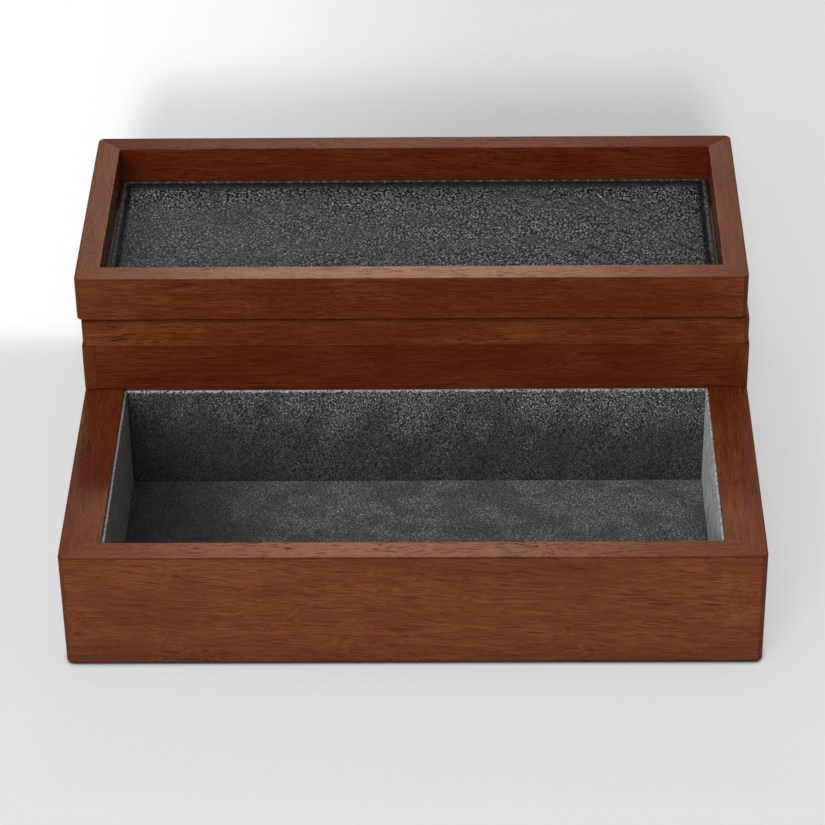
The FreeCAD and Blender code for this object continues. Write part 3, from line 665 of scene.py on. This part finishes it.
def brass():
    """Lacquered antique brass with fine brush lines."""
    metal = Finish("brass")
    place = metal.place()
    brushed = metal.noise(metal.stretched(place, *BRUSH_LINE), detail=3, roughness=0.6)
    stains = metal.noise(place, scale=1 / BRASS_STAIN, detail=4)
    base = metal.mix(metal.remap(stains, 0.4, 0.7, 0.0, 0.8), BRASS_BRIGHT, BRASS_DULL)
    metal.set(
        Base_Color=base,
        Metallic=1.0,
        Roughness=metal.remap(brushed, 0.3, 0.7, 0.24, 0.42),
        Normal=metal.bump(brushed, BRUSH_DEPTH),
    )
    return metal.material


# ---------------------------------------------------------------- meshes


def finished(name, vertices, faces, material, body, slot, *nodes):
    """Makes the mesh an object of that body with its finish, in the place of these CAD nodes."""
    mesh = bpy.data.meshes.new(name)
    mesh.from_pydata(vertices, [], faces)
    mesh.validate()
    mesh.shade_smooth()
    mesh.materials.append(material)
    piece = bpy.data.objects.new(name, mesh)
    bpy.context.scene.collection.objects.link(piece)
    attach(piece, body)
    if nodes:
        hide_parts(*nodes)
    return piece


def steps(low, high, cell, radius):
    """Places from low to high: close together where the ends round over, and cell apart between."""
    turns = [radius * (1 - math.cos(math.radians(angle))) for angle in (0, 22.5, 45, 67.5, 90)]
    count = max(1, round((high - low - 2 * radius) / cell))
    inner = [low + radius + (high - low - 2 * radius) * k / count for k in range(1, count)]
    return [low + t for t in turns] + inner + [high - t for t in reversed(turns)]


def rounding(distance, radius):
    """How far a rounded edge draws the surface in, at that distance from the edge."""
    short = max(radius - distance, 0.0)
    return radius - math.sqrt(max(radius * radius - short * short, 0.0))


def card(node, material, body, seed, slot="suede"):
    """A cloth-covered card in a node's place: rounded along every edge and faintly rippled."""
    low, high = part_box(node)
    low = low + Vector((CARD_SHY,) * 3)
    high = high - Vector((CARD_SHY,) * 3)
    size = high - low
    thin, tall, long = sorted(range(3), key=lambda axis: size[axis])
    radius = min(CARD_RADIUS, size[thin] / 2)
    across = steps(low[tall], high[tall], CARD_CELL, radius)
    along = steps(low[long], high[long], CARD_CELL, radius)

    vertices = []
    for side in (0, 1):
        for v in across:
            for u in along:
                edge = min(v - low[tall], high[tall] - v, u - low[long], high[long] - u)
                inset = rounding(edge, radius)
                point = Vector((0, 0, 0))
                point[tall] = v
                point[long] = u
                point[thin] = low[thin] + inset if side == 0 else high[thin] - inset
                ripple = noise.noise(point / CARD_RIPPLE_RUN + Vector((seed, 0, 0)))
                fuzz = noise.noise(point / CARD_FUZZ_RUN + Vector((0, seed, 0)))
                push = (ripple * CARD_RIPPLE + fuzz * CARD_FUZZ) * (1 if side else -1)
                point[thin] = min(max(point[thin] + push, low[thin] - CARD_SHY), high[thin] + CARD_SHY)
                vertices.append(point)
    faces = shell_faces(len(across), len(along))
    return finished(node + "_card", vertices, faces, material, body, slot, node)


def shell_faces(rows, columns):
    """Faces of two grids of points, a lower one and an upper one, joined round their edges."""
    faces = []
    upper = rows * columns
    for row in range(rows - 1):
        for column in range(columns - 1):
            first = row * columns + column
            ring = (first, first + columns, first + columns + 1, first + 1)
            faces.append(ring)
            faces.append(tuple(index + upper for index in reversed(ring)))
    edge = list(range(columns))
    edge += [row * columns + columns - 1 for row in range(1, rows)]
    edge += [(rows - 1) * columns + column for column in range(columns - 2, -1, -1)]
    edge += [row * columns for row in range(rows - 2, 0, -1)]
    for here, after in zip(edge, edge[1:] + edge[:1]):
        faces.append((here, after, after + upper, here + upper))
    return faces


def tube_faces(first, rings, sides):
    """Faces between the rings of a tube of points, whose first point has that number."""
    faces = []
    for ring in range(rings - 1):
        for side in range(sides):
            here = first + ring * sides + side
            after = first + ring * sides + (side + 1) % sides
            faces.append((here, after, after + sides, here + sides))
    return faces


def smooth(value, low, high):
    """0 below low, 1 above high, and eased between."""
    share = min(max((value - low) / (high - low), 0.0), 1.0)
    return share * share * (3 - 2 * share)


def pad_height(x, y, edge, back):
    """Height of the mat's top over its seat, from the distance to its edge and to its back edge."""
    crease = math.exp(-(((edge - PAD_CREASE) / PAD_CREASE_WIDTH) ** 2)) * PAD_CREASE_DEPTH
    rise = PAD_RISE * smooth(edge, PAD_CREASE, PAD_CREASE + PAD_RISE_RUN)
    crown = PAD_CROWN * smooth(edge, PAD_CREASE + PAD_RISE_RUN, PAD_CREASE + PAD_CROWN_RUN)
    place = Vector((x, y, 0))
    wander = noise.noise(place / PAD_WANDER_RUN) * PAD_WANDER
    folds = math.cos((back + wander - PAD_FOLD_MIDDLE) / PAD_FOLD_RUN) * PAD_FOLD
    folds *= smooth(back, *PAD_FOLD_IN) * (1 - smooth(back, *PAD_FOLD_OUT))
    folds *= 0.6 + 0.4 * noise.noise(place / PAD_FOLD_UNEVEN_RUN + Vector((7, 0, 0)))
    swell = noise.noise(place / PAD_SWELL_RUN + Vector((3, 1, 0))) * PAD_SWELL
    swell *= smooth(edge, *PAD_SWELL_IN)
    crumple = noise.noise(place / PAD_CRUMPLE_RUN) * PAD_CRUMPLE
    return PAD_HEM - crease + rise + crown + folds + swell + crumple


def leather_mat():
    """The padded mat in the lid: rolled edge, crease, folds along its back and a low crown."""
    low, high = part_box("tray_pad")
    xs = steps(low.x, high.x, PAD_CELL, PAD_ROLL)
    ys = steps(low.y, high.y, PAD_CELL, PAD_ROLL)
    top = []
    bottom = []
    for y in ys:
        for x in xs:
            edge = min(x - low.x, high.x - x, y - low.y, high.y - y)
            point = cornered(x, y, low, high)
            height = pad_height(point.x, point.y, edge, high.y - point.y)
            drop = rounding(edge, PAD_ROLL)
            top.append((point.x, point.y, low.z + height - drop))
            bottom.append((point.x, point.y, low.z + PAD_BOTTOM))
    faces = shell_faces(len(ys), len(xs))
    mat = finished("leather_mat", bottom + top, faces, leather(low, high), "lid", "leather", "tray_pad")
    return mat


def cornered(x, y, low, high):
    """The point of a rounded rectangle that stands for this point of the plain one."""
    mid_x, mid_y = (low.x + high.x) / 2, (low.y + high.y) / 2
    side_x, side_y = math.copysign(1, x - mid_x), math.copysign(1, y - mid_y)
    core_x = (high.x - low.x) / 2 - PAD_CORNER
    core_y = (high.y - low.y) / 2 - PAD_CORNER
    over_x, over_y = abs(x - mid_x) - core_x, abs(y - mid_y) - core_y
    if over_x <= 0 or over_y <= 0:
        return Vector((x, y, 0))
    pull = max(over_x, over_y) / math.hypot(over_x, over_y)
    off_x = side_x * (core_x + over_x * pull)
    off_y = side_y * (core_y + over_y * pull)
    return Vector((mid_x + off_x, mid_y + off_y, 0))


def stitches():
    """The stitches round the mat, each one a short arched thread that dips in at both ends."""
    low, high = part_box("tray_pad")
    rows = []
    for y, ends in ((low.y + STITCH_INSET, (low.x, high.x)), (high.y - STITCH_INSET, (low.x, high.x))):
        rows.append((Vector((ends[0], y, 0)), Vector((ends[1], y, 0))))
    for x, ends in ((low.x + STITCH_INSET, (low.y, high.y)), (high.x - STITCH_INSET, (low.y, high.y))):
        rows.append((Vector((x, ends[0], 0)), Vector((x, ends[1], 0))))

    vertices, faces = [], []
    for start, end in rows:
        run = end - start
        count = int((run.length - 4 * STITCH_INSET) / STITCH_PITCH)
        along = run.normalized()
        for k in range(count + 1):
            centre = start + along * (run.length / 2 + (k - count / 2) * STITCH_PITCH)
            add_stitch(vertices, faces, centre, along, low, high)
    return finished("mat_stitches", vertices, faces, thread(), "lid", "leather")


def add_stitch(vertices, faces, centre, along, low, high):
    """One stitch: a short tube that arches over the leather."""
    across = Vector((-along.y, along.x, 0))
    turn = math.radians(STITCH_TURN) * noise.noise(centre / STITCH_TURN_RUN)
    along = Matrix.Rotation(turn, 3, "Z") @ along
    sunk = max(noise.noise(centre / STITCH_SINK_RUN + Vector((5, 5, 5))), 0.0) * STITCH_RADIUS
    first = len(vertices)
    for share in STITCH_STATIONS:
        spot = centre + along * share * STITCH_LENGTH
        edge = min(spot.x - low.x, high.x - spot.x, spot.y - low.y, high.y - spot.y)
        top = low.z + pad_height(spot.x, spot.y, edge, high.y - spot.y) - sunk
        lift = (1 - (2 * share) ** 4) * STITCH_RADIUS * 1.1 - STITCH_RADIUS * 0.7
        girth = STITCH_RADIUS * (1 - 0.45 * (2 * share) ** 4)
        for side in range(STITCH_SIDES):
            angle = 2 * math.pi * side / STITCH_SIDES
            spread = across * math.cos(angle) * girth + Vector((0, 0, math.sin(angle) * girth))
            vertices.append(Vector((spot.x, spot.y, top + lift)) + spread)
    faces += tube_faces(first, len(STITCH_STATIONS), STITCH_SIDES)
    last = len(vertices) - STITCH_SIDES
    faces.append(tuple(reversed(range(first, first + STITCH_SIDES))))
    faces.append(tuple(range(last, len(vertices))))


def board_cuts():
    """The boards that show their own cut; what is left out here has the plain one."""
    front, back, left, right = (0, -1), (0, 1), (-1, 0), (1, 0)
    cuts = {
        # The drawer's front fades darker to its foot: painted shade.
        "drawer_front": Cut(1.0, 1.12, -4.0, front, FRONT_FADE),
        "drawer_side_left": Cut(0.3, 1.02, 1.0, left),
        "drawer_side_right": Cut(0.85, 1.16, -1.0, right),
        "band_front": Cut(0.95, 1.22, 0.5, front),
        "riser_panel": Cut(0.25, 1.05, 1.0),
        "lid_back": Cut(0.3, 1.02, -1.0, back, gloss=0.12),
    }
    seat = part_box("tray_pad")[0].z
    for side, outward in (("front", front), ("back", back), ("left", left), ("right", right)):
        # The lid's left and right inner faces darken where they meet the mat: painted shade.
        inside = (seat, seat + INSIDE_FADE, INSIDE_TONE) if side in ("left", "right") else None
        cuts.setdefault("lid_" + side, Cut(0.65, 1.12, -1.0, outward, None, inside))
        cuts.setdefault("band_" + side, Cut(0.4, 1.07, 1.0, outward))
    return cuts


def slot_of(piece):
    """The record's material slot that a CAD node got its plain material from."""
    return piece.data.materials[0].name.split(".")[0]


def dress_boards():
    """Gives every board of the case, the drawer and the lid its own cut of the wood."""
    cuts = board_cuts()
    for seed, node in enumerate(sorted(frame["nodes"])):
        piece = frame["nodes"][node]
        if slot_of(piece) != "wood":
            continue
        low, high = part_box(node)
        along = "x" if high.x - low.x > high.y - low.y else "y"
        piece.data.materials[0] = mahogany("wood_" + node, along, seed + 1, cuts.get(node, Cut()))


def dress_nodes(old, new):
    """Swaps the plain material of these CAD nodes for a finish."""
    for piece in frame["nodes"].values():
        if slot_of(piece) == old:
            piece.data.materials[0] = new


def suede_cards():
    """Lines the drawer and the upper compartment. Each card's tone is painted light, the right side card
    the lightest.
    """
    # Painted light: how lit each card is.
    lit_tones = {"drawer_liner_floor": 2.0, "drawer_liner_right": 12.5, "drawer_liner_left": 1.5}
    streaks = {"drawer_liner_right": 0.75}
    for seed, (node, piece) in enumerate(sorted(frame["nodes"].items())):
        if slot_of(piece) != "suede":
            continue
        low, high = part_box(node)
        upright = high.z - low.z > CARD_UPRIGHT
        # Painted shade: the back card darker towards its foot.
        ends = (1.05, 1.2) if node == "drawer_liner_back" else (1.0, 1.0)
        side_card = high.y - low.y > high.z - low.z > high.x - low.x
        streaky = streaks.get(node, 0.3) if side_card else 0.0
        fall = (low.z, high.z, *ends) if upright else None
        nap = suede("suede_" + node, seed + 1, lit_tones.get(node, 1.0), fall, streaky)
        card(node, nap, piece["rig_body"], seed * 3.7)


def felt_pieces():
    """The felt sheet under the case, and the four felt dots that the lid comes down on."""
    pile = felt("felt")
    card("base_felt", pile, "case", 91.0, "felt")
    low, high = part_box("lid_bumpers")
    vertices, faces = [], []
    for x in (low.x + BUMPER_RADIUS, high.x - BUMPER_RADIUS):
        for y in (low.y + BUMPER_RADIUS, high.y - BUMPER_RADIUS):
            add_dot(vertices, faces, Vector((x, y, 0)), low.z, high.z)
    finished("lid_felt_dots", vertices, faces, pile, "lid", "felt", "lid_bumpers")


def add_dot(vertices, faces, centre, low, high):
    """One felt dot: flat where it is glued on, with a rounded rim and an uneven face below."""
    thick = high - low
    profile = [(0.35, 0.0), (0.7, 0.03), (0.9, 0.12), (0.98, 0.35), (1.0, 0.6), (0.99, 1.0), (0.6, 1.0)]
    first = len(vertices)
    for share, level in profile:
        height = low + level * thick
        for side in range(BUMPER_SIDES):
            angle = 2 * math.pi * side / BUMPER_SIDES
            spot = centre + Vector((math.cos(angle), math.sin(angle), 0)) * share * BUMPER_RADIUS
            fuzz = noise.noise(Vector((spot.x, spot.y, height)) / BUMPER_FUZZ_RUN) * BUMPER_FUZZ
            inner = 1 - abs(fuzz) if 0.5 < share else 1.0
            vertices.append(centre + (spot - centre) * inner + Vector((0, 0, height)))
    faces += tube_faces(first, len(profile), BUMPER_SIDES)
    faces.append(tuple(reversed(range(first, first + BUMPER_SIDES))))
    faces.append(tuple(range(len(vertices) - BUMPER_SIDES, len(vertices))))


# ---------------------------------------------------------------- studio


PAPER_LEFT = colour(240, 240, 240)
PAPER_RIGHT = colour(238, 238, 237)
# The painted shadow behind the object, and the painted contact shadow.
PAPER_SHADOWED = colour(212, 212, 212)
PAPER_CONTACT_SHADOW = colour(20, 18, 17)


def paper():
    """Matt paper. A share of what the camera and mirrors see is its own tone: its shadows stay light."""
    sheet = Finish("paper")
    place = sheet.add("SeparateXYZ", {"Vector": sheet.add("TexCoord").outputs["Object"]}).outputs
    across = sheet.remap(place[0], *PAPER_X)
    near = sheet.remap(place[0], *PAPER_X, *PAPER_NEAR)
    far = sheet.remap(place[0], *PAPER_X, *PAPER_FAR)
    depth = sheet.remap(place[1], *PAPER_Y)
    tone = sheet.maths("ADD", near, sheet.maths("MULTIPLY", depth, sheet.maths("SUBTRACT", far, near)))
    # Painted shadow behind the object.
    behind = sheet.remap(place[1], *SHADOW_START)
    behind = sheet.maths("MULTIPLY", behind, sheet.remap(place[1], *SHADOW_Y, 1.0, 0.0))
    beside = sheet.remap(sheet.maths("ABSOLUTE", place[0]), *SHADOW_X, 1.0, 0.0)
    behind = sheet.maths("MULTIPLY", behind, beside)
    base = sheet.mix(across, PAPER_LEFT, PAPER_RIGHT)
    base = sheet.mix(behind, base, PAPER_SHADOWED)
    # Painted contact shadow where the object stands on the paper.
    clear = sheet.add("AmbientOcclusion", {"Distance": CONTACT}, samples=8).outputs["AO"]
    base = sheet.mix(sheet.remap(clear, 0.3, 0.8, 0.92, 0.0), base, PAPER_CONTACT_SHADOW)
    sheet.set(Base_Color=base, Roughness=0.9, Specular_IOR_Level=0.1)

    centred = sheet.add("TexCoord").outputs["Object"]
    away = sheet.add("VectorMath", {0: centred}, operation="LENGTH").outputs["Value"]
    away = sheet.remap(away, *PAPER_AWAY)
    whiteness = sheet.maths("MAXIMUM", sheet.remap(tone, 0.95, 1.0, PAPER_SHARE, 1.0), away)
    # The painted shadow darkens the paper's own tone as well.
    tone = sheet.maths("MULTIPLY", tone, sheet.remap(behind, 0.0, 1.0, 1.0, SHADOW_TONE))
    tone = sheet.mix(away, sheet.grey(tone), (BACKDROP_TONE, BACKDROP_TONE, BACKDROP_TONE, 1.0))
    sight = sheet.add("LightPath").outputs
    seen = sheet.maths("MAXIMUM", sight["Is Camera Ray"], sight["Is Glossy Ray"])
    seen = sheet.maths("MAXIMUM", seen, sight["Is Transmission Ray"])
    seen = sheet.maths("MULTIPLY", seen, sheet.remap(clear, 0.3, 0.8))
    even = sheet.add("Emission", {"Color": tone, "Strength": 1.0})
    blend = sheet.add("MixShader", {"Fac": sheet.maths("MULTIPLY", seen, whiteness)})
    sheet.tree.links.new(sheet.shader.outputs[0], blend.inputs[1])
    sheet.tree.links.new(even.outputs[0], blend.inputs[2])
    sheet.tree.links.new(blend.outputs[0], sheet.tree.nodes["Material Output"].inputs["Surface"])
    return sheet.material


def sweep():
    """The paper's mesh: a flat disc that curves up at its rim."""
    angles = [2 * math.pi * side / SWEEP_SIDES for side in range(SWEEP_SIDES)]
    vertices = [
        (radius * math.cos(angle), radius * math.sin(angle), height)
        for radius, height in SWEEP
        for angle in angles
    ]
    walls = tube_faces(0, len(SWEEP), SWEEP_SIDES)
    faces = [tuple(range(SWEEP_SIDES))] + [tuple(reversed(wall)) for wall in walls]
    return vertices, [], faces


def studio():
    """The paper, the even light of the room and the lamps."""
    scene = bpy.context.scene
    scene.view_settings.view_transform = "Standard"
    floor_mesh = bpy.data.meshes.new("floor")
    floor_mesh.from_pydata(*sweep())
    floor_mesh.shade_smooth()
    floor = bpy.data.objects.new("floor", floor_mesh)
    scene.collection.objects.link(floor)
    floor_mesh.materials.append(paper())

    world = bpy.data.worlds.new("studio")
    world.use_nodes = True
    background = world.node_tree.nodes["Background"]
    background.inputs["Color"].default_value = (1.0, 1.0, 1.0, 1.0)
    background.inputs["Strength"].default_value = WORLD_LEVEL
    scene.world = world
    for box in SOFTBOXES:
        softbox(*box)


def softbox(name, place, size, level, target, tint):
    """A soft rectangular lamp that faces its target."""
    data = bpy.data.lights.new(name, "AREA")
    data.shape = "RECTANGLE"
    data.size, data.size_y = size
    data.color = tint
    data.energy = level * math.pi * size[0] * size[1]
    lamp = bpy.data.objects.new(name, data)
    lamp.location = place
    lamp.rotation_euler = (Vector(target) - Vector(place)).to_track_quat("-Z", "Y").to_euler()
    bpy.context.scene.collection.objects.link(lamp)


def camera():
    """The camera, turned by its yaw, then tipped down by its pitch, then rolled."""
    data = bpy.data.cameras.new("camera")
    data.lens = CAMERA_LENS
    data.sensor_width = CAMERA_SENSOR
    data.clip_end = CAMERA_CLIP
    eye = bpy.data.objects.new("camera", data)
    turn = Matrix.Rotation(math.radians(CAMERA_YAW), 4, "Z")
    turn = turn @ Matrix.Rotation(math.radians(90 - CAMERA_PITCH), 4, "X")
    turn = turn @ Matrix.Rotation(math.radians(CAMERA_ROLL), 4, "Z")
    eye.matrix_world = Matrix.Translation(CAMERA_PLACE) @ turn
    bpy.context.scene.collection.objects.link(eye)
    bpy.context.scene.camera = eye


camera()
studio()
suede_cards()
leather_mat()
stitches()
felt_pieces()
dress_boards()
dress_nodes("panel", plywood("plywood", 77))
dress_nodes("brass", brass())
